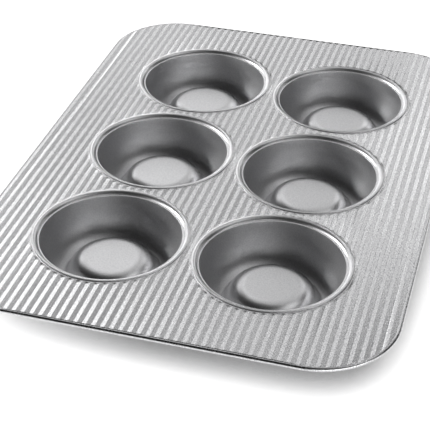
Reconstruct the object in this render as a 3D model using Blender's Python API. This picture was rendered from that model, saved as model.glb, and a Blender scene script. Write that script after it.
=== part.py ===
"""Brownie bowl pan: six drawn cups crimped into one fluted sheet with a wired edge.

Lengths are in millimetres and become metres in the meshes.
X runs across the pan, Y runs along it with the near edge at -Y, and Z points up.
The pan stands on the undersides of its cups at Z = 0.
"""

import math

import bmesh
import bpy
from mathutils import Vector
from mathutils.geometry import delaunay_2d_cdt

MM = 0.001

# Whole pan: its height and the bare sheet around and between the cups.
OVERALL_HEIGHT = 32.0
SIDE_MARGIN = 37.125
END_MARGIN = 40.6
CUP_SPACING = 5.35
CORNER_RADIUS = 51.0
CLEARANCE = 0.3
ROW_NAMES = ("near", "middle", "far")
COLUMN_NAMES = ("left", "right")

# Fluted sheet.
SHEET_THICKNESS = 0.45
FLUTE_PITCH = 5.58
FLUTE_HEIGHT = 0.5
FLUTE_SHIFT = 2.3
GROOVE_DEPTH = 0.3
HOLE_SIDE = 5.8

# Wire in the edge and the curl round it.
WIRE_DIAMETER = 1.6
WIRE_GAP = 1.2
CURL_START = 140.0
CURL_TURN = 290.0
CURL_STEPS = 8
CORNER_STEPS = 9

# Cups.
CUP_METAL = 0.5
CUP_SEGMENTS = 28
THROAT_RADIUS = 46.3
FLANGE_WIDTH = 4.7
LIP_RADIUS = 1.2
LOCK_BEAD_OUT = 1.5
LOCK_BEAD_RISE = 2.0
WALL_DRAFT = 8.0
BOTTOM_FILLET = 7.0
PLUG_TOP_DEPTH = 18.5
PLUG_TOP_RADIUS = 19.5
PLUG_SHOULDER = 8.0
PLUG_DRAFT = 14.0
PLUG_FILLET = 2.5

# Plan of the pan.
FLANGE_RADIUS = THROAT_RADIUS + FLANGE_WIDTH
HOLE_RADIUS = THROAT_RADIUS + LIP_RADIUS
CUP_PITCH = 2 * FLANGE_RADIUS + CUP_SPACING
HALF_WIDTH = SIDE_MARGIN + FLANGE_RADIUS + CUP_PITCH * (len(COLUMN_NAMES) - 1) / 2
HALF_LENGTH = END_MARGIN + FLANGE_RADIUS + CUP_PITCH * (len(ROW_NAMES) - 1) / 2

# Curl: each inset is measured inwards from the middle of the wire.
CURL_INNER = WIRE_DIAMETER / 2 + CLEARANCE
CURL_OUTER = CURL_INNER + SHEET_THICKNESS
CORNER_X = HALF_WIDTH - CORNER_RADIUS
CORNER_Y = HALF_LENGTH - CORNER_RADIUS
WIRE_BEND = CORNER_RADIUS - CURL_OUTER
GROOVE_INSET = CURL_OUTER * 0.75
UNDER_GROOVE_INSET = CURL_OUTER * 0.91
FIELD_INSET = CURL_OUTER * 0.97

# Levels.
SHEET_CREST = OVERALL_HEIGHT - CUP_METAL - CLEARANCE
SHEET_TROUGH = SHEET_CREST - FLUTE_HEIGHT
GROOVE_LEVEL = SHEET_TROUGH - GROOVE_DEPTH
UNDER_GROOVE_LEVEL = GROOVE_LEVEL - SHEET_THICKNESS * 1.2
WIRE_LEVEL = GROOVE_LEVEL - CURL_OUTER * 0.52


def clear_scene():
    """Remove every object that a new Blender scene comes with."""
    for item in list(bpy.data.objects):
        bpy.data.objects.remove(item, do_unlink=True)


def metal(name, colour, roughness):
    """Return a bare metal material."""
    material = bpy.data.materials.new(name)
    material.use_nodes = True
    shader = material.node_tree.nodes["Principled BSDF"]
    shader.inputs["Base Color"].default_value = (*colour, 1.0)
    shader.inputs["Metallic"].default_value = 1.0
    shader.inputs["Roughness"].default_value = roughness
    return material


def add_object(name, data, material, place=(0.0, 0.0)):
    """Put a mesh or a curve into the scene, with its own origin at a place in plan."""
    data.materials.append(material)
    item = bpy.data.objects.new(name, data)
    item.location = Vector((place[0], place[1], 0.0)) * MM
    bpy.context.scene.collection.objects.link(item)
    return item


def unit(start, end):
    """Return the unit vector from one flat point to another."""
    run = end[0] - start[0]
    rise = end[1] - start[1]
    length = math.hypot(run, rise)
    return run / length, rise / length


def rounded(before, corner, after, radius, steps):
    """Return the arc that rounds a corner of a section, with the radius limited by its sides."""
    back = unit(corner, before)
    ahead = unit(corner, after)
    half = math.acos(back[0] * ahead[0] + back[1] * ahead[1]) / 2
    shorter = min(math.dist(before, corner), math.dist(corner, after))
    reach = min(radius / math.tan(half), shorter * 0.49)
    depth = reach / math.cos(half)
    middle = unit((0.0, 0.0), (back[0] + ahead[0], back[1] + ahead[1]))
    centre = (corner[0] + middle[0] * depth, corner[1] + middle[1] * depth)
    spoke = Vector((corner[0] + back[0] * reach - centre[0], corner[1] + back[1] * reach - centre[1]))
    last = Vector((corner[0] + ahead[0] * reach - centre[0], corner[1] + ahead[1] * reach - centre[1]))
    sweep = -spoke.angle_signed(last)
    arc = []
    for step in range(steps + 1):
        turn = sweep * step / steps
        across = spoke[0] * math.cos(turn) - spoke[1] * math.sin(turn)
        rise = spoke[0] * math.sin(turn) + spoke[1] * math.cos(turn)
        arc.append((centre[0] + across, centre[1] + rise))
    return arc


def lock_bead_top():
    """Return the level where the lock bead starts, so that it clears the hole's lower edge."""
    run, drop = unit((0.0, 0.0), (LOCK_BEAD_OUT, LOCK_BEAD_RISE / 2))
    hole_reach = HOLE_RADIUS - THROAT_RADIUS - CUP_METAL * drop
    below = CLEARANCE / run + CUP_METAL * run - hole_reach * drop / run
    return SHEET_TROUGH - SHEET_THICKNESS - below


def cup_section():
    """Return the upper side of a cup, as radius and level, from its centre to its flange edge."""
    plug_top = OVERALL_HEIGHT - PLUG_TOP_DEPTH
    floor = CUP_METAL
    shoulder_reach = PLUG_SHOULDER * math.tan(math.radians(90 - PLUG_DRAFT) / 2)
    plug_centre = (0.0, plug_top)
    plug_edge = (PLUG_TOP_RADIUS + shoulder_reach, plug_top)
    plug_foot = (plug_edge[0] + (plug_top - floor) * math.tan(math.radians(PLUG_DRAFT)), floor)
    bead_top = (THROAT_RADIUS, lock_bead_top())
    bead_crown = (THROAT_RADIUS + LOCK_BEAD_OUT, bead_top[1] - LOCK_BEAD_RISE / 2)
    bead_foot = (THROAT_RADIUS, bead_top[1] - LOCK_BEAD_RISE)
    wall_run = (bead_foot[1] - floor) * math.tan(math.radians(WALL_DRAFT))
    wall_foot = (THROAT_RADIUS - wall_run, floor)
    lip = (THROAT_RADIUS, OVERALL_HEIGHT)
    flange_edge = (FLANGE_RADIUS, OVERALL_HEIGHT)
    return [
        plug_centre,
        *rounded(plug_centre, plug_edge, plug_foot, PLUG_SHOULDER, 2),
        *rounded(plug_edge, plug_foot, wall_foot, PLUG_FILLET, 1),
        *rounded(plug_foot, wall_foot, bead_foot, BOTTOM_FILLET, 2),
        bead_foot,
        bead_crown,
        bead_top,
        *rounded((THROAT_RADIUS, 0.0), lip, flange_edge, LIP_RADIUS, 2),
        flange_edge,
    ]


def turn_and_thicken(item):
    """Turn a section round its vertical axis and give it the cup's wall below it."""
    screw = item.modifiers.new("turn", "SCREW")
    screw.axis = "Z"
    screw.steps = CUP_SEGMENTS
    screw.render_steps = CUP_SEGMENTS
    screw.use_merge_vertices = True
    screw.merge_threshold = 0.00001
    wall = item.modifiers.new("wall", "SOLIDIFY")
    wall.thickness = CUP_METAL * MM
    wall.offset = -1.0
    wall.use_even_offset = True


def cup_centres():
    """Return the name and the centre of every cup."""
    centres = []
    for row, row_name in enumerate(ROW_NAMES):
        for column, column_name in enumerate(COLUMN_NAMES):
            across = (column - (len(COLUMN_NAMES) - 1) / 2) * CUP_PITCH
            along = (row - (len(ROW_NAMES) - 1) / 2) * CUP_PITCH
            centres.append((f"cup_{row_name}_{column_name}", (across, along)))
    return centres


def build_cups(material):
    """Draw the six cups from one section."""
    section = cup_section()
    for name, centre in cup_centres():
        data = bpy.data.meshes.new(name)
        points = [Vector((radius, 0.0, level)) * MM for radius, level in section]
        edges = [(index, index + 1) for index in range(len(section) - 1)]
        data.from_pydata(points, edges, [])
        turn_and_thicken(add_object(name, data, material, centre))


def rim_ring(bend, level):
    """Return a rounded rectangle with the pan's corner centres and its own corner radius."""
    ring = []
    corners = ((1, -1, -90), (1, 1, 0), (-1, 1, 90), (-1, -1, 180))
    for side_x, side_y, start in corners:
        for step in range(CORNER_STEPS + 1):
            angle = math.radians(start + 90 * step / CORNER_STEPS)
            across = side_x * CORNER_X + bend * math.cos(angle)
            along = side_y * CORNER_Y + bend * math.sin(angle)
            ring.append((across, along, level))
    return ring


def flute_level(across):
    """Return the level of the sheet's upper side at one place across the pan."""
    phase = (across - FLUTE_SHIFT) / FLUTE_PITCH
    fall = abs(phase - round(phase)) * 2
    return SHEET_CREST - FLUTE_HEIGHT * fall


def flute_lines():
    """Return the places across the pan where a crest or a trough runs."""
    half = FLUTE_PITCH / 2
    limit = CORNER_X + WIRE_BEND - FIELD_INSET - half / 4
    count = math.ceil(HALF_WIDTH / half) + 1
    lines = [FLUTE_SHIFT + half * step for step in range(-count, count + 1)]
    return [line for line in lines if abs(line) < limit]


def field_reach(across):
    """Return how far along the pan the fluted field goes at one place across it."""
    far = sorted(point for point in rim_ring(WIRE_BEND - FIELD_INSET, 0.0) if point[1] > 0)
    for left, right in zip(far, far[1:]):
        if left[0] <= across <= right[0] and right[0] > left[0]:
            share = (across - left[0]) / (right[0] - left[0])
            return left[1] + share * (right[1] - left[1])
    return CORNER_Y


def hole_outline(centre, lines):
    """Return the corners of one hole, with one wherever a flute line crosses its edge."""
    angles = []
    for line in lines:
        share = (line - centre[0]) / HOLE_RADIUS
        if abs(share) < 1:
            angles += [math.acos(share), 2 * math.pi - math.acos(share)]
    angles.sort()
    outline = []
    for angle, following in zip(angles, angles[1:] + [angles[0] + 2 * math.pi]):
        # An odd count leaves a side, not a corner, at the widest points of the hole.
        parts = math.ceil((following - angle) * HOLE_RADIUS / HOLE_SIDE / 2) * 2 - 1
        for part in range(parts):
            turn = angle + (following - angle) * part / parts
            across = centre[0] + HOLE_RADIUS * math.cos(turn)
            along = centre[1] + HOLE_RADIUS * math.sin(turn)
            outline.append((across, along))
    return outline


class FieldPlan:
    """Plan of the fluted field: its points, their levels and the edges that must stay."""

    def __init__(self):
        self.points = []
        self.levels = []
        self.edges = []

    def add(self, across, along, level):
        """Add one point and return its number."""
        self.points.append((across, along))
        self.levels.append(level)
        return len(self.points) - 1

    def close(self, loop):
        """Keep the edges round a closed loop of points."""
        self.edges += zip(loop, loop[1:] + loop[:1])

    def bearing(self, number):
        """Return the direction of a point from the middle of the pan."""
        return math.atan2(self.points[number][1], self.points[number][0])


def plan_field():
    """Lay out the flutes, the holes and the groove, and return the plan, groove and holes."""
    plan = FieldPlan()
    lines = flute_lines()
    border = []
    for across in lines:
        reach = field_reach(across)
        ends = [plan.add(across, side * reach, flute_level(across)) for side in (-1, 1)]
        plan.edges.append(tuple(ends))
        border += ends
    for across, along, _ in rim_ring(WIRE_BEND - FIELD_INSET, 0.0):
        if min(abs(across - line) for line in lines) > FLUTE_PITCH / 16:
            border.append(plan.add(across, along, flute_level(across)))
    plan.close(sorted(border, key=plan.bearing))
    groove = [plan.add(*point) for point in rim_ring(WIRE_BEND - GROOVE_INSET, GROOVE_LEVEL)]
    plan.close(groove)
    holes = [hole_outline(centre, lines) for _, centre in cup_centres()]
    for outline in holes:
        plan.close([plan.add(across, along, flute_level(across)) for across, along in outline])
    return plan, groove, holes


def inside(point, outline):
    """Tell whether a flat point lies in a closed outline."""
    within = False
    for start, end in zip(outline, outline[1:] + outline[:1]):
        if (start[1] > point[1]) != (end[1] > point[1]):
            share = (point[1] - start[1]) / (end[1] - start[1])
            if point[0] < start[0] + share * (end[0] - start[0]):
                within = not within
    return within


def triangulate(plan, holes):
    """Fill a plan with triangles and return its points, its triangles and each point's new number."""
    flat = [Vector(point) for point in plan.points]
    spots, _, faces, sources, _, _ = delaunay_2d_cdt(flat, plan.edges, [], 0, 0.001)
    points = []
    numbers = {}
    for number, (spot, source) in enumerate(zip(spots, sources)):
        level = plan.levels[source[0]] if source else flute_level(spot[0])
        points.append((spot[0], spot[1], level))
        numbers.update((original, number) for original in source)
    kept = []
    for face in faces:
        middle = [sum(spots[number][axis] for number in face) / len(face) for axis in (0, 1)]
        if not any(inside(middle, outline) for outline in holes):
            kept.append(face)
    return points, kept, numbers


def curl_rings():
    """Return the rings of the curled edge: round its outside, then back round its inside."""
    turns = [math.radians(CURL_START - CURL_TURN * step / CURL_STEPS) for step in range(CURL_STEPS + 1)]
    outer = [
        rim_ring(WIRE_BEND + CURL_OUTER * math.cos(turn), WIRE_LEVEL + CURL_OUTER * math.sin(turn))
        for turn in turns
    ]
    inner = [
        rim_ring(WIRE_BEND + CURL_INNER * math.cos(turn), WIRE_LEVEL + CURL_INNER * math.sin(turn))
        for turn in reversed(turns)
    ]
    return outer + inner


def bridge(shell, loop, following, smooth):
    """Join two rings of the same count with a band of faces."""
    for step, corner in enumerate(loop):
        after = (step + 1) % len(loop)
        face = shell.faces.new((corner, loop[after], following[after], following[step]))
        face.smooth = smooth


def build_sheet(material):
    """Form the fluted sheet, its holes and its curled edge."""
    plan, groove, holes = plan_field()
    points, faces, numbers = triangulate(plan, holes)
    shell = bmesh.new()
    upper = [shell.verts.new(Vector(point) * MM) for point in points]
    for face in faces:
        shell.faces.new([upper[number] for number in face])
    groove_top = [upper[numbers[number]] for number in groove]
    copied = bmesh.ops.duplicate(shell, geom=shell.faces[:])
    lower = [item for item in copied["geom"] if isinstance(item, bmesh.types.BMVert)]
    bmesh.ops.translate(shell, verts=lower, vec=(0.0, 0.0, -SHEET_THICKNESS * MM))
    groove_under = [copied["vert_map"][corner] for corner in groove_top]
    for corner, point in zip(groove_under, rim_ring(WIRE_BEND - UNDER_GROOVE_INSET, UNDER_GROOVE_LEVEL)):
        corner.co = Vector(point) * MM
    rim = set(groove_top)
    hole_edges = [
        edge
        for edge in shell.edges
        if edge.is_boundary and edge.verts[0] in copied["vert_map"] and edge.verts[0] not in rim
    ]
    for edge in hole_edges:
        first, second = edge.verts
        twin_first, twin_second = copied["vert_map"][first], copied["vert_map"][second]
        if twin_first.co.z < first.co.z:
            shell.faces.new((first, second, twin_second, twin_first))
    loops = [groove_top]
    loops += [[shell.verts.new(Vector(point) * MM) for point in ring] for ring in curl_rings()]
    loops.append(groove_under)
    for loop, following in zip(loops, loops[1:]):
        bridge(shell, loop, following, True)
    for vertex in [vertex for vertex in shell.verts if not vertex.link_faces]:
        shell.verts.remove(vertex)
    bmesh.ops.recalc_face_normals(shell, faces=shell.faces)
    data = bpy.data.meshes.new("frame_sheet")
    shell.to_mesh(data)
    shell.free()
    add_object("frame_sheet", data, material)


def build_wire(material):
    """Bend the wire that stiffens the edge, with its ends butted in the middle of the far side."""
    ring = rim_ring(WIRE_BEND, WIRE_LEVEL)
    half_way = len(ring) // 2
    far_side = CORNER_Y + WIRE_BEND
    start = (-WIRE_GAP / 2, far_side, WIRE_LEVEL)
    end = (WIRE_GAP / 2, far_side, WIRE_LEVEL)
    path = [start] + ring[half_way:] + ring[:half_way] + [end]
    data = bpy.data.curves.new("rim_wire", "CURVE")
    data.dimensions = "3D"
    data.bevel_depth = WIRE_DIAMETER / 2 * MM
    data.bevel_resolution = 1
    data.use_fill_caps = True
    spline = data.splines.new("POLY")
    spline.points.add(len(path) - 1)
    for point, place in zip(spline.points, path):
        point.co = (*(Vector(place) * MM), 1.0)
    add_object("rim_wire", data, material)


def main():
    """Build the pan."""
    clear_scene()
    build_sheet(metal("coated_sheet", (0.62, 0.62, 0.62), 0.34))
    build_wire(metal("plain_wire", (0.5, 0.5, 0.5), 0.4))
    build_cups(metal("coated_cup", (0.58, 0.58, 0.58), 0.3))


main()
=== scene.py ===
"""Brownie bowl pan: fluted sheet, drawn cups and wired edge, dressed and lit for one view.

The sizes in the classes are millimetres in the frame's own axes: X across the pan, Y along it with
the near edge at -Y, Z up from what the pan stands on. They become metres in the meshes.
"""

import logging
import math
from dataclasses import dataclass, field
from enum import Enum
from typing import Any, Optional

import bmesh
import bpy
from mathutils import Euler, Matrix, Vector
from mathutils.geometry import delaunay_2d_cdt


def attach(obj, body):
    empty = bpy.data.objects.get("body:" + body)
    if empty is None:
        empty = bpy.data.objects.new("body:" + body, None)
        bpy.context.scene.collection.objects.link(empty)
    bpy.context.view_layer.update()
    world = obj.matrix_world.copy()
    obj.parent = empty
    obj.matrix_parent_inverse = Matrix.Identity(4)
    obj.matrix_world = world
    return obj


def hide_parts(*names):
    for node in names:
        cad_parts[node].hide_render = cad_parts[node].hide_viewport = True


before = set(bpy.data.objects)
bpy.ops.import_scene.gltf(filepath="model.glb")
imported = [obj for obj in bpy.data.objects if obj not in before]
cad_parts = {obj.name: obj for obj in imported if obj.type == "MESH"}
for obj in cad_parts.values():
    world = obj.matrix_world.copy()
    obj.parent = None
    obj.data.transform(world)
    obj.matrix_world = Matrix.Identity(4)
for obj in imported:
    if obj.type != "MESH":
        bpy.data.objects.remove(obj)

MM = 0.001
MERGE_MM = 0.001
BODY = "root"
LOG = logging.getLogger("pan")
# Nearly all the values of a noise lie in this range.
NOISE_RANGE = (0.3, 0.7)
# The tightest rounding that a wall's inner side keeps, in mm, and the share of a side it may take.
LEAST_ROUNDING = 0.12
ROUNDING_SHARE = 0.6

Point = tuple[float, float, float]
Flat = tuple[float, float]


class Slot(Enum):
    """The record's material slots."""

    SHEET = "coated_sheet"
    CUP = "coated_cup"
    WIRE = "plain_wire"


def linear(hex_colour: str) -> tuple[float, float, float, float]:
    """Turn an sRGB hex colour into the linear values that Blender's sockets take.

    Args:
        hex_colour: six hex digits, with or without a leading #.

    Returns:
        Red, green, blue and an alpha of 1.
    """
    digits = hex_colour.lstrip("#")
    levels = [int(digits[index:index + 2], 16) / 255 for index in (0, 2, 4)]
    values = [level / 12.92 if level <= 0.04045 else ((level + 0.055) / 1.055) ** 2.4 for level in levels]
    return values[0], values[1], values[2], 1.0


def add_node(tree: bpy.types.NodeTree, kind: str, inputs: Optional[dict] = None,
             **settings: Any) -> bpy.types.Node:
    """Add a node, with its settings, its values and its links.

    Args:
        tree: the tree that gets the node.
        kind: the node's type name.
        inputs: by socket name or number, either the socket to link from or a plain value.
        settings: the node's own properties.

    Returns:
        The new node.
    """
    node = tree.nodes.new(kind)
    for key, value in settings.items():
        setattr(node, key, value)
    for key, value in (inputs or {}).items():
        if isinstance(value, bpy.types.NodeSocket):
            tree.links.new(value, node.inputs[key])
        else:
            node.inputs[key].default_value = value
    return node


@dataclass(frozen=True)
class CoatedMetal:
    """Steel under a thin coat, as on the sheet, the cups and the wire.

    The coat makes it satin: it shows soft reflections, with the fine orange peel of the coat and a
    faint grain from the rolling or the drawing. The real peel is finer than a render at this
    distance can show, so it is drawn at 0.6 to 0.8 mm.
    """

    name: str
    colour: str
    shade: str
    roughness: float
    drawn_roughness: float
    roughness_spread: float
    peel_mm: float
    peel_depth_mm: float
    grain_mm: Point
    grain_depth_mm: float
    cloud_mm: float

    def pattern(self, tree: bpy.types.NodeTree, place: bpy.types.NodeSocket, sizes: Point,
                detail: float) -> bpy.types.NodeSocket:
        """Add a noise whose grains have a real size.

        Args:
            tree: the material's tree.
            place: the Object coordinates.
            sizes: the grain's size in mm along X, Y and Z.
            detail: the noise's detail.

        Returns:
            The noise's value socket.
        """
        scale = [1 / (size * MM) for size in sizes]
        mapping = add_node(tree, "ShaderNodeMapping", {"Vector": place, "Scale": scale})
        return add_node(tree, "ShaderNodeTexNoise", {
            "Vector": mapping.outputs[0], "Scale": 1.0, "Detail": detail, "Roughness": 0.55}).outputs[0]

    def material(self) -> bpy.types.Material:
        """Make the material.

        Returns:
            The material, with its nodes.
        """
        material = bpy.data.materials.new(self.name)
        material.use_nodes = True
        tree = material.node_tree
        shader = tree.nodes["Principled BSDF"]
        shader.inputs["Metallic"].default_value = 1.0
        place = add_node(tree, "ShaderNodeTexCoord").outputs["Object"]
        peel = self.pattern(tree, place, (self.peel_mm,) * 3, 1.0)
        grain = self.pattern(tree, place, self.grain_mm, 2.0)
        cloud = self.pattern(tree, place, (self.cloud_mm,) * 3, 2.0)
        halves = add_node(tree, "ShaderNodeMath", {0: grain, 1: cloud}, operation="ADD").outputs[0]
        spread = add_node(tree, "ShaderNodeMapRange", {
            "Value": halves, "From Min": 2 * NOISE_RANGE[0], "From Max": 2 * NOISE_RANGE[1],
            "To Min": -self.roughness_spread, "To Max": self.roughness_spread}).outputs[0]
        # The stretched wall of a cup is rougher than the metal that the die only held.
        drawn = add_node(tree, "ShaderNodeAttribute", attribute_name="drawn").outputs["Fac"]
        level = add_node(tree, "ShaderNodeMapRange", {
            "Value": drawn, "To Min": self.roughness, "To Max": self.drawn_roughness}).outputs[0]
        rough = add_node(tree, "ShaderNodeMath", {0: level, 1: spread}, operation="ADD").outputs[0]
        speck = add_node(tree, "ShaderNodeMapRange", {
            "Value": peel, "From Min": NOISE_RANGE[0], "From Max": NOISE_RANGE[1]})
        # The colour sockets of a Mix node are its seventh and eighth.
        tint = add_node(tree, "ShaderNodeMix", {
            0: speck.outputs[0], 6: linear(self.shade), 7: linear(self.colour)}, data_type="RGBA")
        fine = add_node(tree, "ShaderNodeBump", {
            "Height": peel, "Distance": self.peel_depth_mm * MM, "Strength": 1.0})
        brushed = add_node(tree, "ShaderNodeBump", {
            "Height": grain, "Distance": self.grain_depth_mm * MM, "Strength": 1.0,
            "Normal": fine.outputs[0]})
        tree.links.new(tint.outputs[2], shader.inputs["Base Color"])
        tree.links.new(rough, shader.inputs["Roughness"])
        tree.links.new(brushed.outputs[0], shader.inputs["Normal"])
        return material


@dataclass(frozen=True)
class PanPlan:
    """Plan of the pan: where the cups stand and how its rounded outline runs."""

    half_width: float = 141.79
    half_length: float = 198.94
    corner_radius: float = 51.0
    corner_steps: int = 20
    cup_pitch: float = 107.35
    columns: dict[str, float] = field(default_factory=lambda: {"left": -0.5, "right": 0.5})
    rows: dict[str, float] = field(default_factory=lambda: {"near": -1.0, "middle": 0.0, "far": 1.0})

    def cups(self) -> dict[str, Flat]:
        """Work out where the cups stand.

        Returns:
            The centre of each cup by the name of its node.
        """
        return {
            f"cup_{row}_{column}": (across * self.cup_pitch, along * self.cup_pitch)
            for row, along in self.rows.items()
            for column, across in self.columns.items()
        }

    def outline(self, inset: float, level: float) -> list[Point]:
        """Follow the pan's edge at an even inset.

        Args:
            inset: how far in from the outside of the pan.
            level: the height of the line.

        Returns:
            Points in order round the pan.
        """
        corner_x = self.half_width - self.corner_radius
        corner_y = self.half_length - self.corner_radius
        bend = self.corner_radius - inset
        ring = []
        for side_x, side_y, start in ((1, -1, -90), (1, 1, 0), (-1, 1, 90), (-1, -1, 180)):
            for step in range(self.corner_steps + 1):
                angle = math.radians(start + 90 * step / self.corner_steps)
                ring.append((side_x * corner_x + bend * math.cos(angle),
                             side_y * corner_y + bend * math.sin(angle), level))
        return ring

    def reach(self, across: float, inset: float) -> float:
        """Find how far along the pan an outline goes at one place across it.

        Args:
            across: the place across the pan.
            inset: the outline's inset.

        Returns:
            The distance from the middle of the pan.
        """
        far = sorted(point for point in self.outline(inset, 0.0) if point[1] > 0)
        for left, right in zip(far, far[1:]):
            if left[0] <= across <= right[0] and right[0] > left[0]:
                share = (across - left[0]) / (right[0] - left[0])
                return left[1] + share * (right[1] - left[1])
        return self.half_length - self.corner_radius


@dataclass
class GeometryTree:
    """A Geometry Nodes tree with named inputs, which a piece runs once and keeps as a plain mesh."""

    name: str
    inputs: dict[str, tuple[str, Any]]

    def __post_init__(self) -> None:
        """Start the tree with its inputs, its output and its two end nodes."""
        self.tree = bpy.data.node_groups.new(self.name, "GeometryNodeTree")
        new = self.tree.interface.new_socket
        new("Geometry", in_out="OUTPUT", socket_type="NodeSocketGeometry")
        new("Geometry", in_out="INPUT", socket_type="NodeSocketGeometry")
        self.identifiers = {}
        for name, (kind, _) in self.inputs.items():
            self.identifiers[name] = new(name, in_out="INPUT", socket_type=kind).identifier
        self.entry = self.tree.nodes.new("NodeGroupInput").outputs

    def end(self, geometry: bpy.types.NodeSocket) -> None:
        """Close the tree with Realize Instances and Set Material.

        Args:
            geometry: the socket that holds the finished shape.
        """
        real = add_node(self.tree, "GeometryNodeRealizeInstances", {0: geometry})
        dressed = add_node(self.tree, "GeometryNodeSetMaterial", {
            "Geometry": real.outputs[0], "Material": self.entry["Material"]})
        add_node(self.tree, "NodeGroupOutput", {0: dressed.outputs[0]})

    def run(self, piece: bpy.types.Object, **values: Any) -> None:
        """Run the tree on a piece and keep the result as its mesh.

        Args:
            piece: the object whose mesh goes in.
            values: input values that differ from the tree's own, by name.
        """
        modifier = piece.modifiers.new(self.name, "NODES")
        modifier.node_group = self.tree
        for name, (_, value) in self.inputs.items():
            modifier[self.identifiers[name]] = values.get(name, value)
        graph = bpy.context.evaluated_depsgraph_get()
        mesh = bpy.data.meshes.new_from_object(piece.evaluated_get(graph), depsgraph=graph)
        piece.modifiers.remove(modifier)
        piece.data = mesh
        mesh.name = piece.name


def new_piece(name: str, mesh: bpy.types.Mesh) -> bpy.types.Object:
    """Put a mesh into the scene as an object at the origin.

    Args:
        name: the object's name.
        mesh: its mesh.

    Returns:
        The new object.
    """
    piece = bpy.data.objects.new(name, mesh)
    bpy.context.scene.collection.objects.link(piece)
    return piece


def hand_over(piece: bpy.types.Object, slot: Slot, *nodes: str) -> None:
    """Tie a finished piece to the frame.

    Args:
        piece: the finished piece.
        slot: the record's material slot that the piece stands in; not used.
        nodes: the CAD nodes that it stands for.
    """
    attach(piece, BODY)
    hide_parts(*nodes)
    LOG.info("%s: %d faces, for %s", piece.name, len(piece.data.polygons), ", ".join(nodes))


@dataclass
class FieldPlan:
    """Flat plan of the sheet: points, their heights, and the edges that must stay."""

    points: list[Flat] = field(default_factory=list)
    levels: list[float] = field(default_factory=list)
    edges: list[tuple[int, int]] = field(default_factory=list)

    def add(self, across: float, along: float, level: float) -> int:
        """Add a point.

        Args:
            across: its place across the pan.
            along: its place along the pan.
            level: its height.

        Returns:
            The point's number.
        """
        self.points.append((across, along))
        self.levels.append(level)
        return len(self.points) - 1

    def close(self, loop: list[int]) -> None:
        """Keep the edges round a closed loop of points."""
        self.edges += zip(loop, loop[1:] + loop[:1])


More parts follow.
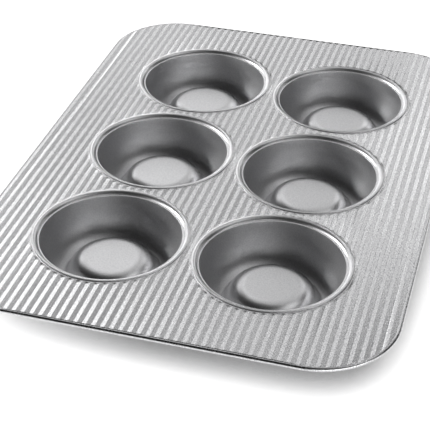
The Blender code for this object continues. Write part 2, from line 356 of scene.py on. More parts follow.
@dataclass
class FlutedSheet:
    """The flat sheet with its pressed flutes, six holes and the edge that is curled round a wire."""

    plan: PanPlan
    finish: CoatedMetal
    thickness: float = 0.45
    crest_level: float = 31.4
    flute_pitch: float = 5.58
    flute_height: float = 0.5
    flute_shift: float = 2.3
    flute_flat: float = 0.12
    hole_radius: float = 48.3
    fade_rings: tuple[float, ...] = (51.15, 51.6, 52.1, 52.6, 53.2)
    arc_step: float = 2.4
    bead_radius: float = 1.4
    bead_level: float = 29.8
    curl_start: float = 100.0
    curl_end: float = -145.0
    curl_steps: int = 20
    blend_width: float = 0.75
    under_inset: float = 0.5
    under_level: float = 30.72
    merge: float = 0.0005
    smooth_limit: float = 38.0
    crease_limit: float = 5.0

    @property
    def curl_inset(self) -> float:
        """The wire's middle, in from the outside of the pan."""
        return self.bead_radius

    @property
    def field_inset(self) -> float:
        """The inset of the line where the fluted field starts to run into the curl."""
        return self.curl_inset + self.blend_width

    def flute_lines(self) -> list[float]:
        """Work out where the facets of the flutes start and end.

        Returns:
            Places across the pan, from left to right.
        """
        half = self.flute_pitch / 2
        limit = self.plan.half_width - self.field_inset - self.flute_flat
        count = math.ceil(self.plan.half_width / half)
        middles = [self.flute_shift + half * step for step in range(-count, count + 1)]
        lines = [middle + side * self.flute_flat for middle in middles for side in (-1, 1)]
        return [line for line in lines if abs(line) < limit]

    def ring(self, centre: Flat, radius: float, lines: list[float]) -> list[Flat]:
        """Return a circle round a cup, with a point wherever a flute line crosses it.

        Args:
            centre: the cup's centre.
            radius: the circle's radius.
            lines: the flute lines.

        Returns:
            Points in order round the circle.
        """
        angles = []
        for line in lines:
            share = (line - centre[0]) / radius
            if abs(share) < 1:
                angles += [math.acos(share), 2 * math.pi - math.acos(share)]
        angles.sort()
        ring = []
        for angle, following in zip(angles, angles[1:] + [angles[0] + 2 * math.pi]):
            parts = max(1, math.ceil((following - angle) * radius / self.arc_step))
            for part in range(parts):
                turn = angle + (following - angle) * part / parts
                ring.append((centre[0] + radius * math.cos(turn), centre[1] + radius * math.sin(turn)))
        return ring

    def spans(self, line: float) -> list[Flat]:
        """Cut a flute line where it crosses the holes.

        Args:
            line: the line's place across the pan.

        Returns:
            The start and end of each stretch between the holes, along the pan.
        """
        reach = self.plan.reach(line, self.field_inset)
        ends = [-reach, reach]
        for across, along in self.plan.cups().values():
            if abs(line - across) < self.hole_radius:
                half = math.sqrt(self.hole_radius ** 2 - (line - across) ** 2)
                ends += [along - half, along + half]
        ends.sort()
        return list(zip(ends[::2], ends[1::2]))

    def lay_out(self) -> tuple[FieldPlan, list[int], list[set[int]]]:
        """Lay out the flutes, the rings round the holes and the fold at the edge.

        Returns:
            The plan, the numbers of the fold's points, and those of each hole's edge.
        """
        plan = FieldPlan()
        lines = self.flute_lines()
        border = []
        for line in lines:
            for start, end in self.spans(line):
                first = plan.add(line, start, self.crest_level)
                plan.edges.append((first, plan.add(line, end, self.crest_level)))
            reach = self.plan.reach(line, self.field_inset)
            border += [(line, -reach), (line, reach)]
        border += [point[:2] for point in self.plan.outline(self.field_inset, 0.0)]
        border.sort(key=lambda point: math.atan2(point[1], point[0]))
        plan.close([plan.add(*point, self.crest_level) for point in border])
        fold = [plan.add(*point) for point in self.curl_ring(self.curl_start, self.bead_radius)]
        plan.close(fold)
        holes = []
        for centre in self.plan.cups().values():
            for radius in (self.hole_radius, *self.fade_rings):
                loop = [plan.add(*point, self.crest_level) for point in self.ring(centre, radius, lines)]
                plan.close(loop)
                if radius == self.hole_radius:
                    holes.append(set(loop))
        return plan, fold, holes

    def curl_ring(self, degrees: float, radius: float) -> list[Point]:
        """Follow the curl round the pan at one angle round the wire.

        Args:
            degrees: the angle, from the outside of the pan up.
            radius: the distance from the wire's middle.

        Returns:
            Points in order round the pan.
        """
        angle = math.radians(degrees)
        inset = self.curl_inset - radius * math.cos(angle)
        return self.plan.outline(inset, self.bead_level + radius * math.sin(angle))

    def curl_rings(self) -> list[list[Point]]:
        """Draw the curl after its first ring: out round the wire, then back inside.

        Returns:
            The rings in order.
        """
        turn = (self.curl_end - self.curl_start) / self.curl_steps
        angles = [self.curl_start + turn * step for step in range(self.curl_steps + 1)]
        inner = self.bead_radius - self.thickness
        outside = [self.curl_ring(angle, self.bead_radius) for angle in angles[1:]]
        inside = [self.curl_ring(angle, inner) for angle in reversed(angles)]
        return outside + inside

    def blank(self, name: str) -> bpy.types.Mesh:
        """Make the sheet with its holes and its curled edge, before the flutes are pressed.

        Args:
            name: the mesh's name.

        Returns:
            A closed mesh whose attribute "pressed" is 1 where the flutes go.
        """
        plan, fold, holes = self.lay_out()
        flat = [Vector(point) for point in plan.points]
        spots, _, faces, sources, _, _ = delaunay_2d_cdt(flat, plan.edges, [], 0, self.merge)
        shell = bmesh.new()
        pressed = shell.verts.layers.float.new("pressed")
        numbers = {}
        upper = []
        hole_of = []
        for spot, source in zip(spots, sources):
            level = plan.levels[source[0]] if source else self.crest_level
            corner = shell.verts.new(Vector((spot[0], spot[1], level)) * MM)
            corner[pressed] = 1.0
            for original in source:
                numbers[original] = corner
            hole_of.append({index for index, hole in enumerate(holes) if hole.intersection(source)})
            upper.append(corner)
        for face in faces:
            if not hole_of[face[0]] & hole_of[face[1]] & hole_of[face[2]]:
                shell.faces.new([upper[number] for number in face])
        fold_top = [numbers[number] for number in fold]
        copied = bmesh.ops.duplicate(shell, geom=shell.faces[:])
        twins = copied["vert_map"]
        lower = [item for item in copied["geom"] if isinstance(item, bmesh.types.BMVert)]
        bmesh.ops.translate(shell, verts=lower, vec=(0.0, 0.0, -self.thickness * MM))
        fold_under = [twins[corner] for corner in fold_top]
        under = self.plan.outline(self.curl_inset + self.under_inset, self.under_level)
        for corner, point in zip(fold_under, under):
            corner.co = Vector(point) * MM
        rim = set(fold_top) | set(fold_under)
        for edge in [edge for edge in shell.edges if edge.is_boundary and not rim.intersection(edge.verts)]:
            first, second = edge.verts
            if twins[first].co.z < first.co.z:
                shell.faces.new((first, second, twins[second], twins[first]))
        loops = [fold_top]
        for ring in self.curl_rings():
            loops.append([shell.verts.new(Vector(point) * MM) for point in ring])
        loops.append(fold_under)
        for loop, following in zip(loops, loops[1:]):
            for step, corner in enumerate(loop):
                after = (step + 1) % len(loop)
                shell.faces.new((corner, loop[after], following[after], following[step]))
        for corner in fold_top + fold_under:
            corner[pressed] = 0.0
        loose = [corner for corner in shell.verts if not corner.link_faces]
        bmesh.ops.delete(shell, geom=loose, context="VERTS")
        bmesh.ops.recalc_face_normals(shell, faces=shell.faces)
        mesh = bpy.data.meshes.new(name)
        shell.to_mesh(mesh)
        shell.free()
        return mesh

    def press(self) -> GeometryTree:
        """Make the tree that presses the flutes, which fade out where the cups' flanges lie on them.

        Returns:
            The finished tree.
        """
        made = GeometryTree("flute_press", {
            "Pitch": ("NodeSocketFloat", self.flute_pitch * MM),
            "Height": ("NodeSocketFloat", self.flute_height * MM),
            "Shift": ("NodeSocketFloat", self.flute_shift * MM),
            "Flat": ("NodeSocketFloat", self.flute_flat * MM),
            "Cup Pitch": ("NodeSocketFloat", self.plan.cup_pitch * MM),
            "Fade Start": ("NodeSocketFloat", self.fade_rings[0] * MM),
            "Fade End": ("NodeSocketFloat", self.fade_rings[-1] * MM),
            "Material": ("NodeSocketMaterial", None),
        })
        tree, entry = made.tree, made.entry
        maths = "ShaderNodeMath"
        place = add_node(tree, "GeometryNodeInputPosition").outputs[0]
        across = add_node(tree, "ShaderNodeSeparateXYZ", {0: place}).outputs["X"]
        half = add_node(tree, maths, {0: entry["Pitch"], 1: 0.5}, operation="MULTIPLY").outputs[0]
        phase = add_node(tree, maths, {0: across, 1: entry["Shift"]}, operation="SUBTRACT").outputs[0]
        away = add_node(tree, maths, {0: phase, 1: half}, operation="PINGPONG").outputs[0]
        foot = add_node(tree, maths, {0: half, 1: entry["Flat"]}, operation="SUBTRACT").outputs[0]
        fall = add_node(tree, "ShaderNodeMapRange", {
            "Value": away, "From Min": entry["Flat"], "From Max": foot}).outputs[0]
        length = add_node(tree, maths, {0: entry["Cup Pitch"], 1: 2.0}, operation="MULTIPLY").outputs[0]
        centres = add_node(tree, "GeometryNodeMeshGrid", {
            "Size X": entry["Cup Pitch"], "Size Y": length,
            "Vertices X": 2, "Vertices Y": 3}).outputs["Mesh"]
        flat = add_node(tree, "ShaderNodeVectorMath", {0: place, 1: (1.0, 1.0, 0.0)},
                        operation="MULTIPLY").outputs[0]
        radius = add_node(tree, "GeometryNodeProximity", {0: centres, 2: flat},
                          target_element="POINTS").outputs["Distance"]
        fade = add_node(tree, "ShaderNodeMapRange", {
            "Value": radius, "From Min": entry["Fade Start"], "From Max": entry["Fade End"],
            "To Max": entry["Height"]}, interpolation_type="SMOOTHSTEP").outputs[0]
        pressed = add_node(tree, "GeometryNodeInputNamedAttribute", {"Name": "pressed"},
                           data_type="FLOAT").outputs[0]
        depth = add_node(tree, maths, {0: fall, 1: fade}, operation="MULTIPLY").outputs[0]
        drop = add_node(tree, maths, {0: depth, 1: pressed}, operation="MULTIPLY").outputs[0]
        down = add_node(tree, "ShaderNodeVectorMath", {0: (0.0, 0.0, -1.0), "Scale": drop},
                        operation="SCALE").outputs[0]
        moved = add_node(tree, "GeometryNodeSetPosition", {"Geometry": entry["Geometry"], "Offset": down})
        # The bends of the flutes stay crisp, and the curl is smooth.
        angle = add_node(tree, "GeometryNodeInputMeshEdgeAngle").outputs["Unsigned Angle"]
        limit = add_node(tree, "ShaderNodeMapRange", {
            "Value": pressed, "To Min": math.radians(self.smooth_limit),
            "To Max": math.radians(self.crease_limit)}).outputs[0]
        sharp = add_node(tree, "FunctionNodeCompare", {0: angle, 1: limit}, data_type="FLOAT",
                         operation="GREATER_THAN").outputs[0]
        smooth = add_node(tree, "GeometryNodeSetShadeSmooth", {
            "Geometry": moved.outputs[0], "Shade Smooth": True}, domain="FACE")
        creased = add_node(tree, "GeometryNodeSetShadeSmooth", {
            "Geometry": smooth.outputs[0], "Selection": sharp, "Shade Smooth": False}, domain="EDGE")
        made.end(creased.outputs[0])
        return made

    def dress(self) -> bpy.types.Material:
        """Return the sheet's finish, which the press puts on the piece."""
        return self.finish.material()

    def build(self) -> None:
        """Make the fluted sheet, dress it and hand it over."""
        piece = new_piece("fluted_sheet", self.blank("fluted_sheet"))
        self.press().run(piece, Material=self.dress())
        hand_over(piece, Slot.SHEET, "frame_sheet")


@dataclass(frozen=True)
class Corner:
    """A corner of a section: its radius from the axis, its level, and how far it is rounded."""

    out: float
    level: float
    rounding: float = 0.0


def heading(start: Corner, end: Corner) -> Flat:
    """Find the direction from one corner to another.

    Args:
        start: the corner it starts from.
        end: the corner it points to.

    Returns:
        The run and the rise of a step of length 1.
    """
    run, rise = end.out - start.out, end.level - start.level
    length = math.hypot(run, rise)
    return run / length, rise / length


def parallel(corners: list[Corner], distance: float) -> list[Corner]:
    """Move a section's corners to its right by a wall's thickness, and fit their roundings.

    Args:
        corners: the corners in order.
        distance: the wall's thickness.

    Returns:
        The moved corners in the same order.
    """
    moved = []
    for index, corner in enumerate(corners):
        before = heading(corners[index - 1], corner) if index else None
        after = heading(corner, corners[index + 1]) if index + 1 < len(corners) else None
        before, after = before or after, after or before
        turn = before[0] * after[1] - before[1] * after[0]
        split = 1 + before[0] * after[0] + before[1] * after[1]
        across = ((before[1] + after[1]) / split, -(before[0] + after[0]) / split)
        rounding = corner.rounding + math.copysign(distance, turn) if corner.rounding else 0.0
        moved.append(Corner(corner.out + across[0] * distance, corner.level + across[1] * distance,
                            max(rounding, LEAST_ROUNDING) if corner.rounding else 0.0))
    return moved


def rounded_section(corners: list[Corner], longest: float, degrees: float) -> list[Flat]:
    """Draw a section with rounded corners and evenly divided sides.

    Args:
        corners: the corners in order.
        longest: the longest step along a straight side.
        degrees: the largest turn between two steps of a rounding.

    Returns:
        Points in order along the section.
    """
    points = [(corners[0].out, corners[0].level)]

    def go_to(target: Flat) -> None:
        """Add even steps along a straight side.

        Args:
            target: the side's end.
        """
        start = points[-1]
        gap = math.dist(start, target)
        parts = max(1, math.ceil(gap / longest))
        for part in range(1, parts + 1):
            share = part / parts
            points.append((start[0] + (target[0] - start[0]) * share,
                           start[1] + (target[1] - start[1]) * share))

    for before, corner, after in zip(corners, corners[1:], corners[2:]):
        arriving, leaving = heading(before, corner), heading(corner, after)
        turn = math.atan2(arriving[0] * leaving[1] - arriving[1] * leaving[0],
                          arriving[0] * leaving[0] + arriving[1] * leaving[1])
        shorter = min(math.dist((before.out, before.level), (corner.out, corner.level)),
                      math.dist((corner.out, corner.level), (after.out, after.level)))
        reach = min(corner.rounding * math.tan(abs(turn) / 2), shorter * ROUNDING_SHARE)
        radius = reach / math.tan(abs(turn) / 2) if reach else 0.0
        start = (corner.out - arriving[0] * reach, corner.level - arriving[1] * reach)
        go_to(start)
        steps = max(1, math.ceil(math.degrees(abs(turn)) / degrees)) if reach else 0
        side = math.copysign(1.0, turn)
        centre = (start[0] - side * arriving[1] * radius, start[1] + side * arriving[0] * radius)
        for step in range(1, steps + 1):
            angle = turn * step / steps
            spoke = (start[0] - centre[0], start[1] - centre[1])
            points.append((centre[0] + spoke[0] * math.cos(angle) - spoke[1] * math.sin(angle),
                           centre[1] + spoke[0] * math.sin(angle) + spoke[1] * math.cos(angle)))
    go_to((corners[-1].out, corners[-1].level))
    return points


@dataclass
class DrawnCups:
    """The six drawn cups: flange, rolled lip, seat ledge, wall, trough and raised centre plug."""

    plan: PanPlan
    finish: CoatedMetal
    metal: float = 0.5
    segments: int = 144
    top_level: float = 32.0
    floor_level: float = 0.5
    flange_radius: float = 51.0
    flange_edge_level: float = 31.74
    flange_crest_radius: float = 50.1
    flange_rounding: float = 3.0
    flange_crown: float = 0.01
    edge_break: float = 0.06
    lip_radius: float = 47.0
    lip_rounding: float = 3.0
    lip_turns: tuple[float, ...] = (70.0, 55.0, 40.0, 25.0, 10.0)
    ledge_width: float = 0.9
    ledge_level: float = 29.9
    ledge_rise: float = 0.1
    ledge_roundings: Flat = (0.25, 0.2)
    band_foot_level: float = 26.3
    band_lean: float = 0.1
    wall_reach: float = 15.0
    wall_foot_angle: float = 75.0
    wall_top_angle: float = 4.0
    wall_steps: int = 15
    trough_radius: float = 33.0
    trough_rounding: float = 4.5
    plug_level: float = 13.5
    plug_radius: float = 17.2
    plug_shoulder: float = 12.0
    plug_draft: float = 26.0
    plug_rounding: float = 2.0
    drawn_from: Flat = (26.0, 31.0)
    drawn_to: Flat = (45.8, 46.8)
    axis_radius: float = 1.0
    upper_steps: Flat = (1.5, 9.0)
    lower_steps: Flat = (3.0, 12.0)

    def lip(self) -> list[Corner]:
        """Work out the lip, which rolls from the seat ledge up to the flange's crest.

        Returns:
            The corners of its roll, which stand a little outside the arc that rounds them.
        """
        half_turn = math.radians(self.lip_turns[0] - self.lip_turns[1]) / 2
        reach = self.lip_rounding / math.cos(half_turn)
        middle = self.lip_radius + self.lip_rounding
        base = self.top_level - self.lip_rounding
        return [
            Corner(middle - reach * math.sin(turn), base + reach * math.cos(turn), self.lip_rounding)
            for turn in map(math.radians, self.lip_turns)
        ]

    def bowl(self, top_radius: float) -> list[Corner]:
        """Work out the bowl-shaped wall, an arc of an ellipse from the trough to the band.

        Args:
            top_radius: the wall's radius where it meets the band.

        Returns:
            The corners along the arc, from the trough up.
        """
        height = self.band_foot_level - self.floor_level
        turn = (self.wall_top_angle - self.wall_foot_angle) / self.wall_steps
        corners = []
        for step in range(self.wall_steps + 1):
            angle = math.radians(self.wall_foot_angle + turn * step)
            corners.append(Corner(top_radius - self.wall_reach * (1 - math.cos(angle)),
                                  self.band_foot_level - height * math.sin(angle)))
        return corners

    def upper_side(self) -> list[Corner]:
        """Work out the cup's upper side.

        Returns:
            Its corners from the centre to the edge of the flange.
        """
        shoulder = self.plug_shoulder * math.tan(math.radians(90 - self.plug_draft) / 2)
        edge = self.plug_radius + shoulder
        foot = edge + (self.plug_level - self.floor_level) * math.tan(math.radians(self.plug_draft))
        ledge_inside = self.lip_radius - self.ledge_width
        band_foot = ledge_inside - self.band_lean
        return [
            Corner(0.0, self.plug_level),
            Corner(edge, self.plug_level, self.plug_shoulder),
            Corner(foot, self.floor_level, self.plug_rounding),
            Corner(self.trough_radius, self.floor_level, self.trough_rounding),
            *self.bowl(band_foot),
            Corner(ledge_inside, self.ledge_level, self.ledge_roundings[0]),
            Corner(self.lip_radius, self.ledge_level + self.ledge_rise, self.ledge_roundings[1]),
            *self.lip(),
            Corner(self.flange_crest_radius, self.top_level + self.flange_crown, self.flange_rounding),
            Corner(self.flange_radius, self.flange_edge_level),
        ]

    def section(self) -> list[Flat]:
        """Draw the whole section of a cup.

        Returns:
            Points out along its upper side and back along its lower one.
        """
        above = self.upper_side()
        below = parallel(above, self.metal)
        upper = rounded_section(above, *self.upper_steps)
        lower = rounded_section(below, *self.lower_steps)
        under = self.top_level - self.metal
        edge = [
            (self.flange_radius - self.edge_break, self.flange_edge_level),
            (self.flange_radius, self.flange_edge_level - self.edge_break),
            (self.flange_radius, under + self.edge_break),
            (self.flange_radius - self.edge_break, under),
            (self.flange_crest_radius, under),
        ]
        # Under the flange the section runs flat, so the lower side starts inside the lip's crest.
        crest = self.lip_radius + self.lip_rounding
        return upper[:-1] + edge + [point for point in lower[::-1] if point[0] < crest]

    def spin(self) -> GeometryTree:
        """Make the tree that spins a section into a cup.

        Returns:
            The finished tree.
        """
        made = GeometryTree("cup_spin", {
            "Segments": ("NodeSocketInt", self.segments),
            "Axis Radius": ("NodeSocketFloat", self.axis_radius * MM),
            "Centre": ("NodeSocketVector", (0.0, 0.0, 0.0)),
            "Plug Edge": ("NodeSocketFloat", self.drawn_from[0] * MM),
            "Wall Foot": ("NodeSocketFloat", self.drawn_from[1] * MM),
            "Wall Top": ("NodeSocketFloat", self.drawn_to[0] * MM),
            "Lip": ("NodeSocketFloat", self.drawn_to[1] * MM),
            "Merge": ("NodeSocketFloat", MERGE_MM * MM),
            "Material": ("NodeSocketMaterial", None),
        })
        tree, entry = made.tree, made.entry
        profile = add_node(tree, "GeometryNodeMeshToCurve", {"Mesh": entry["Geometry"]}).outputs[0]
        circle = add_node(tree, "GeometryNodeCurvePrimitiveCircle", {
            "Resolution": entry["Segments"], "Radius": entry["Axis Radius"]}).outputs[0]
        upright = add_node(tree, "GeometryNodeSetCurveNormal", {"Curve": circle}, mode="Z_UP").outputs[0]
        spun = add_node(tree, "GeometryNodeCurveToMesh", {
            "Curve": upright, "Profile Curve": profile}).outputs[0]
        placed = add_node(tree, "GeometryNodeTransform", {
            "Geometry": spun, "Translation": entry["Centre"]}).outputs[0]
        merged = add_node(tree, "GeometryNodeMergeByDistance", {
            "Geometry": placed, "Distance": entry["Merge"]}).outputs[0]
        smooth = add_node(tree, "GeometryNodeSetShadeSmooth", {
            "Geometry": merged, "Shade Smooth": True}, domain="FACE").outputs[0]
        place = add_node(tree, "GeometryNodeInputPosition").outputs[0]
        flat = add_node(tree, "ShaderNodeVectorMath", {0: place, 1: (1.0, 1.0, 0.0)},
                        operation="MULTIPLY").outputs[0]
        radius = add_node(tree, "ShaderNodeVectorMath", {0: flat, 1: entry["Centre"]},
                          operation="DISTANCE").outputs["Value"]
        rise = add_node(tree, "ShaderNodeMapRange", {
            "Value": radius, "From Min": entry["Plug Edge"], "From Max": entry["Wall Foot"]}).outputs[0]
        fall = add_node(tree, "ShaderNodeMapRange", {
            "Value": radius, "From Min": entry["Wall Top"], "From Max": entry["Lip"],
            "To Min": 1.0, "To Max": 0.0}).outputs[0]
        drawn = add_node(tree, "ShaderNodeMath", {0: rise, 1: fall}, operation="MULTIPLY").outputs[0]
        marked = add_node(tree, "GeometryNodeStoreNamedAttribute", {
            "Geometry": smooth, "Name": "drawn", "Value": drawn}, data_type="FLOAT", domain="POINT")
        made.end(marked.outputs[0])
        return made

    def dress(self) -> bpy.types.Material:
        """Return the cups' finish, which the spin puts on each of them."""
        return self.finish.material()

    def build(self) -> None:
        """Make the six cups, dress them and hand them over."""
        spin = self.spin()
        material = self.dress()
        section = self.section()
        # Curve to Mesh measures a profile out from the circle, with its Y axis pointing down.
        corners = [((out - self.axis_radius) * MM, -level * MM, 0.0) for out, level in section]
        edges = [(index, index + 1) for index in range(len(section) - 1)]
        for name, (across, along) in self.plan.cups().items():
            mesh = bpy.data.meshes.new(name)
            mesh.from_pydata(corners, edges, [])
            piece = new_piece(f"drawn_{name}", mesh)
            spin.run(piece, Centre=(across * MM, along * MM, 0.0), Material=material)
            face_outwards(piece.data)
            hand_over(piece, Slot.CUP, name)


def face_outwards(mesh: bpy.types.Mesh) -> None:
    """Turn a closed mesh's faces outwards.

    Args:
        mesh: the mesh, which is changed.
    """
    shell = bmesh.new()
    shell.from_mesh(mesh)
    bmesh.ops.recalc_face_normals(shell, faces=shell.faces)
    shell.to_mesh(mesh)
    shell.free()


@dataclass
class EdgeWire:
    """The wire inside the curled edge, with its ends butted in the middle of the far side."""

    plan: PanPlan
    finish: CoatedMetal
    radius: float = 0.8
    inset: float = 1.4
    level: float = 29.8
    gap: float = 1.2
    sides: int = 12

    def sweep(self) -> GeometryTree:
        """Make the tree that draws the wire along its path.

        Returns:
            The finished tree.
        """
        made = GeometryTree("wire_sweep", {
            "Sides": ("NodeSocketInt", self.sides),
            "Radius": ("NodeSocketFloat", self.radius * MM),
            "Merge": ("NodeSocketFloat", MERGE_MM * MM),
            "Material": ("NodeSocketMaterial", None),
        })
        tree, entry = made.tree, made.entry
        path = add_node(tree, "GeometryNodeMeshToCurve", {"Mesh": entry["Geometry"]}).outputs[0]
        circle = add_node(tree, "GeometryNodeCurvePrimitiveCircle", {
            "Resolution": entry["Sides"], "Radius": entry["Radius"]}).outputs[0]
        drawn = add_node(tree, "GeometryNodeCurveToMesh", {
            "Curve": path, "Profile Curve": circle, "Fill Caps": True}).outputs[0]
        merged = add_node(tree, "GeometryNodeMergeByDistance", {
            "Geometry": drawn, "Distance": entry["Merge"]}).outputs[0]
        smooth = add_node(tree, "GeometryNodeSetShadeSmooth", {
            "Geometry": merged, "Shade Smooth": True}, domain="FACE")
        made.end(smooth.outputs[0])
        return made

    def dress(self) -> bpy.types.Material:
        """Return the wire's finish, which the sweep puts on it."""
        return self.finish.material()

    def build(self) -> None:
        """Make the wire, dress it and hand it over."""
        ring = self.plan.outline(self.inset, self.level)
        half_way = len(ring) // 2
        far_side = self.plan.half_length - self.inset
        path = [(-self.gap / 2, far_side, self.level), *ring[half_way:], *ring[:half_way],
                (self.gap / 2, far_side, self.level)]
        mesh = bpy.data.meshes.new("edge_wire")
        mesh.from_pydata([Vector(point) * MM for point in path],
                         [(index, index + 1) for index in range(len(path) - 1)], [])
        piece = new_piece("edge_wire", mesh)
        self.sweep().run(piece, Material=self.dress())
        face_outwards(piece.data)
        hand_over(piece, Slot.WIRE, "rim_wire")


@dataclass(frozen=True)
class Softbox:
    """A rectangular lamp that looks at the middle of the pan.

    Its azimuth is measured from +X towards +Y and its elevation from the horizon. These and its
    width and height, as the pan sees them, are in degrees. A brightness of 1 is that of white, and
    the distance is in metres.
    """

    name: str
    azimuth: float
    elevation: float
    wide: float
    tall: float
    brightness: float
    distance: float = 2.5

    def build(self) -> None:
        """Hang the lamp."""
        azimuth, elevation = math.radians(self.azimuth), math.radians(self.elevation)
        away = Vector((math.cos(azimuth) * math.cos(elevation), math.sin(azimuth) * math.cos(elevation),
                       math.sin(elevation)))
        lamp = bpy.data.lights.new(self.name, "AREA")
        lamp.shape = "RECTANGLE"
        lamp.size = 2 * self.distance * math.cos(elevation) * math.tan(math.radians(self.wide / 2))
        lamp.size_y = 2 * self.distance * math.tan(math.radians(self.tall / 2))
        # An area lamp's power gives this radiance over its whole face.
        lamp.energy = self.brightness * math.pi * lamp.size * lamp.size_y
        item = bpy.data.objects.new(self.name, lamp)
        item.location = away * self.distance
        item.rotation_euler = away.to_track_quat("Z", "Y").to_euler()
        bpy.context.scene.collection.objects.link(item)


@dataclass
class Studio:
    """A white floor, plain soft lamps and the camera at the photograph's view.

    The camera looks from azimuth 285 and elevation 35, so level metal mirrors azimuth 105 and
    elevation 35. The lamps round that place light the sheet and the plugs, those further to the
    left light the crests of the flutes, and the low ones light the lips and the bead. The floor's
    size, its drop and the reach of its painted shadow are in metres.
    """

    sensor_width: float = 36.0
    lens: float = 105.483
    camera_at: Point = (191.538, -723.863, 503.9)
    camera_turn: Point = (55.2447, -0.1742, 15.989)
    camera_shift: Flat = (-0.00093, 0.00116)
    floor_size: float = 8.0
    floor_drop: float = 0.0002
    floor_colour: str = "#D4D4D4"
    # The glow's range and its painted shadow: the glow is dimmed, within the reach, where ambient occlusion
    # round a normal leaned to the front left finds the pan.
    floor_glow: Flat = (0.0, 1.0)
    painted_shadow_reach: float = 0.3
    painted_shadow_opening: Flat = (0.23, 0.63)
    painted_shadow_side: Point = (-0.28, -0.34, 0.9)
    world_level: float = 0.008
    lamps: tuple[Softbox, ...] = (
        Softbox("low_left", 124.0, 6.0, 34.0, 12.0, 2.4),
        Softbox("low_side", 210.0, 5.0, 30.0, 10.0, 10.0),
        Softbox("low_right", 315.0, 5.0, 60.0, 10.0, 5.0),
        Softbox("back_low", 105.0, 16.0, 15.0, 12.0, 1.1),
        Softbox("back_low_left", 120.0, 16.0, 15.0, 12.0, 0.7),
        Softbox("left_low", 135.0, 16.0, 15.0, 12.0, 0.8),
        Softbox("left_key", 165.0, 16.0, 15.0, 12.0, 11.0),
        Softbox("left_side_key", 180.0, 16.0, 15.0, 12.0, 17.0),
        Softbox("front_low", 292.0, 16.0, 30.0, 12.0, 0.8),
        Softbox("right_low", 345.0, 16.0, 30.0, 12.0, 1.2),
        Softbox("right_back_low", 53.0, 12.0, 26.0, 14.0, 1.0),
        Softbox("right_window", 75.0, 29.0, 15.0, 14.0, 1.95),
        Softbox("back_right", 90.0, 29.0, 15.0, 14.0, 0.8),
        Softbox("back_middle", 105.0, 29.0, 15.0, 14.0, 0.9),
        Softbox("back_left", 120.0, 29.0, 15.0, 14.0, 1.05),
        Softbox("left_window", 136.0, 29.0, 17.0, 14.0, 2.4),
        Softbox("high_right", 82.0, 43.0, 15.0, 14.0, 0.8),
        Softbox("high_middle", 97.0, 43.0, 15.0, 14.0, 0.3),
        Softbox("high_left", 112.0, 43.0, 15.0, 14.0, 1.1),
        Softbox("high_far_left", 127.0, 43.0, 15.0, 14.0, 0.6),
        Softbox("overhead", 90.0, 62.0, 90.0, 24.0, 0.56),
        Softbox("overhead_front", 325.0, 64.0, 50.0, 20.0, 0.35),
        Softbox("overhead_right", 12.0, 60.0, 50.0, 22.0, 1.2),
    )

    def build_floor(self) -> None:
        """Lay the floor, which shows white, with a painted shadow of the pan in its glow."""
        shell = bmesh.new()
        bmesh.ops.create_grid(shell, x_segments=1, y_segments=1, size=self.floor_size / 2)
        bmesh.ops.translate(shell, verts=shell.verts, vec=(0.0, 0.0, -self.floor_drop))
        mesh = bpy.data.meshes.new("floor")
        shell.to_mesh(mesh)
        shell.free()
        floor = new_piece("floor", mesh)
        # Matt white paper: no gloss, and an even white apart from the pan's shadow, which the lamps partly
        # cast on its grey and which is partly painted into its glow.
        material = bpy.data.materials.new("white_floor")
        material.use_nodes = True
        tree = material.node_tree
        tree.nodes.clear()
        rays = add_node(tree, "ShaderNodeLightPath").outputs
        mirrored = add_node(tree, "ShaderNodeMath", {
            0: rays["Is Glossy Ray"], 1: rays["Is Transmission Ray"]}, operation="MAXIMUM").outputs[0]
        seen = add_node(tree, "ShaderNodeMath", {
            0: rays["Is Camera Ray"], 1: mirrored}, operation="MAXIMUM").outputs[0]
        # Painted shadow: the glow is dimmed by ambient occlusion where the pan hides the room from the
        # floor, not by the lamps.
        side = add_node(tree, "ShaderNodeCombineXYZ", dict(enumerate(self.painted_shadow_side))).outputs[0]
        painted_shadow_ao = add_node(tree, "ShaderNodeAmbientOcclusion", {
            "Distance": self.painted_shadow_reach, "Normal": side}).outputs["AO"]
        painted_shadow_glow = add_node(tree, "ShaderNodeMapRange", {
            "Value": painted_shadow_ao, "From Min": self.painted_shadow_opening[0], "From Max": self.painted_shadow_opening[1],
            "To Min": self.floor_glow[0], "To Max": self.floor_glow[1]},
            interpolation_type="SMOOTHSTEP").outputs[0]
        strength = add_node(tree, "ShaderNodeMath", {0: seen, 1: painted_shadow_glow}, operation="MULTIPLY").outputs[0]
        lit = add_node(tree, "ShaderNodeBsdfDiffuse", {"Color": linear(self.floor_colour)})
        glowing = add_node(tree, "ShaderNodeEmission", {"Strength": strength})
        both = add_node(tree, "ShaderNodeAddShader", {0: lit.outputs[0], 1: glowing.outputs[0]})
        add_node(tree, "ShaderNodeOutputMaterial", {"Surface": both.outputs[0]})
        mesh.materials.append(material)

    def build_world(self) -> None:
        """Set a plain world that the camera sees as white."""
        world = bpy.data.worlds.new("studio")
        bpy.context.scene.world = world
        world.use_nodes = True
        tree = world.node_tree
        tree.nodes.clear()
        rays = add_node(tree, "ShaderNodeLightPath").outputs
        strength = add_node(tree, "ShaderNodeMapRange", {
            "Value": rays["Is Camera Ray"], "To Min": self.world_level, "To Max": 1.0}).outputs[0]
        light = add_node(tree, "ShaderNodeBackground", {
            "Color": linear("#FFFFFF"), "Strength": strength})
        add_node(tree, "ShaderNodeOutputWorld", {"Surface": light.outputs[0]})

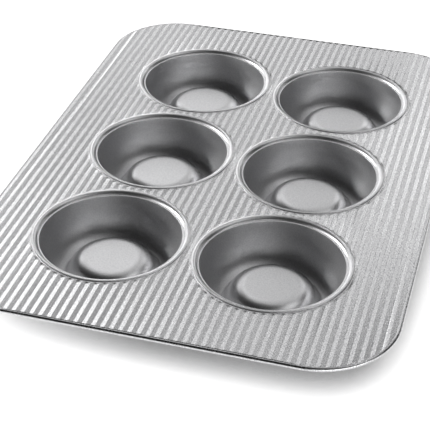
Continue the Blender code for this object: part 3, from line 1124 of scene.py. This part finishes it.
    def build_camera(self) -> None:
        """Set the camera where the photograph was taken from."""
        data = bpy.data.cameras.new("camera")
        data.sensor_width = self.sensor_width
        data.lens = self.lens
        data.shift_x, data.shift_y = self.camera_shift
        camera = bpy.data.objects.new("camera", data)
        camera.location = Vector(self.camera_at) * MM
        camera.rotation_euler = Euler([math.radians(turn) for turn in self.camera_turn])
        bpy.context.scene.collection.objects.link(camera)
        bpy.context.scene.camera = camera

    def build(self) -> None:
        """Set up the floor, the world, the lamps and the camera."""
        self.build_floor()
        self.build_world()
        for lamp in self.lamps:
            lamp.build()
        self.build_camera()
        bpy.context.scene.view_settings.view_transform = "Standard"


def main() -> None:
    """Build the pan's pieces in order, then the studio."""
    logging.basicConfig(level=logging.INFO, format="%(name)s %(message)s")
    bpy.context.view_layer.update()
    plan = PanPlan()
    # Rolled steel with an aluminium coat under a clear sprayed film: pale satin grey, with clear
    # stripes of light on the flutes and a fine speckle. The grain of the rolling runs along the pan.
    sheet = CoatedMetal(
        name="rolled_aluminised_steel", colour="#E0E0E1", shade="#B4B4B6",
        roughness=0.26, drawn_roughness=0.26, roughness_spread=0.03, peel_mm=0.8, peel_depth_mm=0.022,
        grain_mm=(0.5, 12.0, 4.0), grain_depth_mm=0.01, cloud_mm=14.0)
    # The same steel drawn in a die: softer reflections on the flange and the plug, and a duller
    # wall, where the metal was stretched. The marks of the draw run up the wall.
    cup = CoatedMetal(
        name="drawn_aluminised_steel", colour="#E9E9EA", shade="#D5D5D7",
        roughness=0.34, drawn_roughness=0.45, roughness_spread=0.02, peel_mm=0.7, peel_depth_mm=0.004,
        grain_mm=(1.2, 1.2, 14.0), grain_depth_mm=0.008, cloud_mm=12.0)
    # Hot-dipped zinc on drawn wire: duller and darker than the sheet, with small even spots.
    wire = CoatedMetal(
        name="galvanised_wire", colour="#BFC1C3", shade="#A9ABAD",
        roughness=0.4, drawn_roughness=0.4, roughness_spread=0.04, peel_mm=0.6, peel_depth_mm=0.02,
        grain_mm=(2.0, 2.0, 2.0), grain_depth_mm=0.01, cloud_mm=5.0)
    FlutedSheet(plan, sheet).build()
    EdgeWire(plan, wire).build()
    DrawnCups(plan, cup).build()
    Studio().build()


if __name__ == "__main__":
    main()
